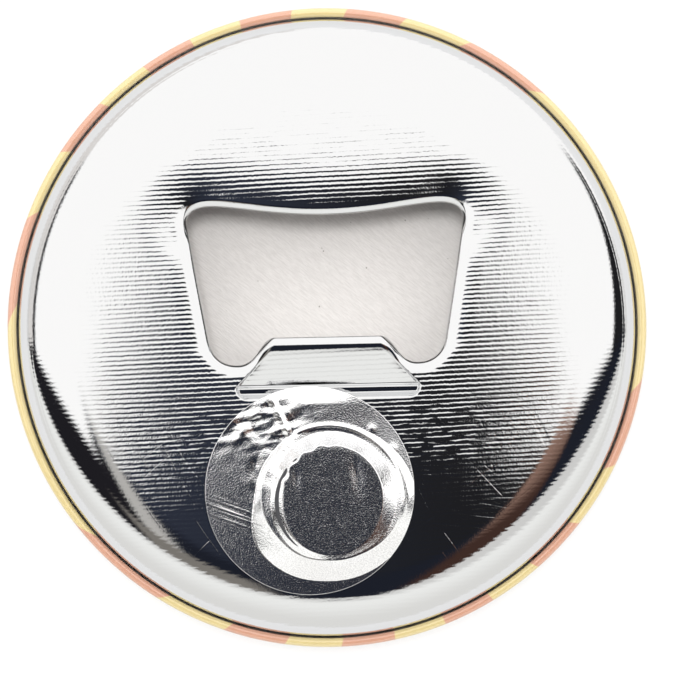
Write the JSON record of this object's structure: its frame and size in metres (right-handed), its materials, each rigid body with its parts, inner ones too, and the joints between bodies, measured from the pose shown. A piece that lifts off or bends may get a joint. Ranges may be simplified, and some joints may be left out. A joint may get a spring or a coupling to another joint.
{
  "type": "badge bottle opener",
  "caption": "Round button-badge bottle opener: domed printed front shell, chromed pressed back with mouth and tongue, and a disc magnet under a foil sticker.",
  "frame": {"origin": "on the badge's axis, where the middle of the printed front touches the table it lies on", "axes": "+Z out of the opener back, +Y from the magnet to the mouth, +X to the right as the back is looked at"},
  "size_m": [0.058, 0.058, 0.0105],
  "materials": {
    "film": "clear glossy polyester film",
    "print": "paper printed with plain stripes",
    "tinplate": "bare tinplate with fine diagonal brushing",
    "chrome": "bright chrome over faint rolling lines",
    "ferrite": "matte sintered ferrite",
    "foil": "thin crumpled bright foil"
  },
  "bodies": {
    "root": {"clear_film": "film", "printed_disc": "print", "front_shell": "tinplate", "back_plate": "chrome", "magnet": "ferrite", "magnet_foil": "foil"}
  },
  "joints": []
}
